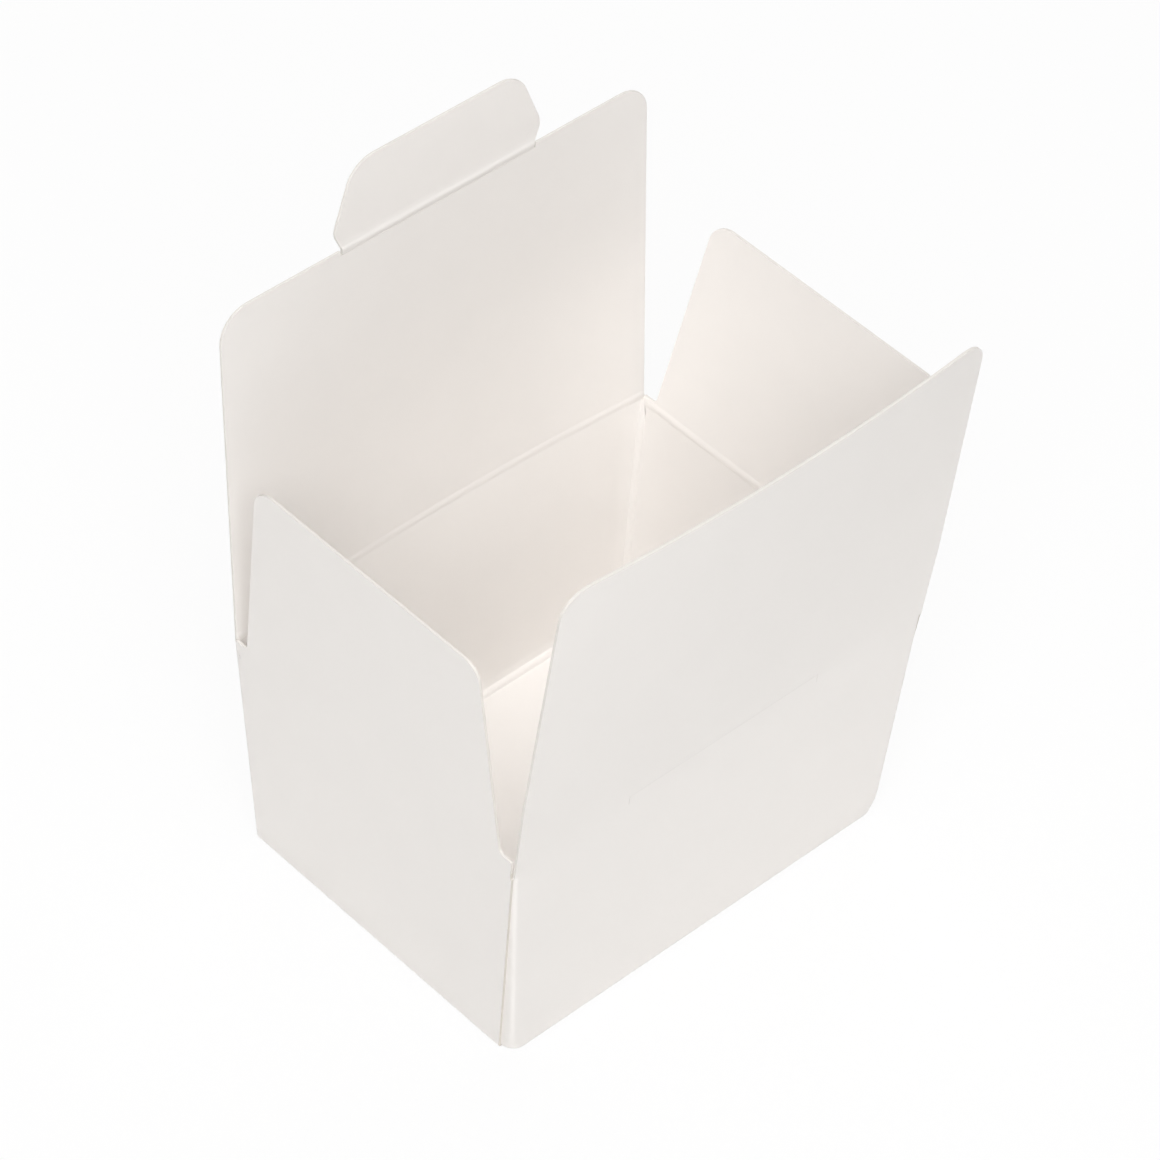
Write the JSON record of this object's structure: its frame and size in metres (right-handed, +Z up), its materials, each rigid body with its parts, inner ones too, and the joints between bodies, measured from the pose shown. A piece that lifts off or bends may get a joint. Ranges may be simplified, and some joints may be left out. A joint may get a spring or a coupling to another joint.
{
  "type": "candy box",
  "caption": "Open folding chocolate box of plain white board: flared body, four rounded top flaps and a hooked tuck tab on the lid.",
  "frame": {"origin": "middle of the underside of the base, on the table", "axes": "+Z up, X along the long side of the box, -Y towards the front wall, whose flap faces the viewer; the lid is hinged on the +Y wall"},
  "size_m": [0.1043, 0.0826, 0.136],
  "materials": {
    "body_board": "matt white board, smooth outer face",
    "front_board": "matt white board, smooth outer face",
    "lid_board": "matt board, warm white inner face",
    "tab_board": "matt board, warm white inner face",
    "left_board": "matt white board, smooth outer face",
    "right_board": "matt board, warm white inner face"
  },
  "bodies": {
    "carton": {"carton_body": "body_board"},
    "front": {"front_flap": "front_board"},
    "lid": {"lid_flap": "lid_board"},
    "tab": {"tuck_tab": "tab_board"},
    "left_end": {"left_end_flap": "left_board"},
    "right_end": {"right_end_flap": "right_board"}
  },
  "joints": [
    {"name": "front_crease", "type": "hinge", "parent": "carton", "child": "front", "pos_m": [0, -0.03495, 0.05], "axis": [-1, 0, 0], "range_deg": [-84.5, 95.5]},
    {"name": "lid_crease", "type": "hinge", "parent": "carton", "child": "lid", "pos_m": [0, 0.03495, 0.0506], "axis": [1, 0, 0], "range_deg": [-86.2, 93.8]},
    {"name": "tab_crease", "type": "hinge", "parent": "lid", "child": "tab", "pos_m": [0, 0.03955, 0.1198], "axis": [1, 0, 0], "range_deg": [-108.5, 118.05]},
    {"name": "left_crease", "type": "hinge", "parent": "carton", "child": "left_end", "pos_m": [-0.04745, 0, 0.0494], "axis": [0, 1, 0], "range_deg": [-86.6, 93.4]},
    {"name": "right_crease", "type": "hinge", "parent": "carton", "child": "right_end", "pos_m": [0.04745, 0, 0.0494], "axis": [0, -1, 0], "range_deg": [-81.8, 98.2]}
  ],
  "couplings": [
    {"joint": "tab_crease", "follows": "lid_crease", "ratio": 1.258}
  ]
}
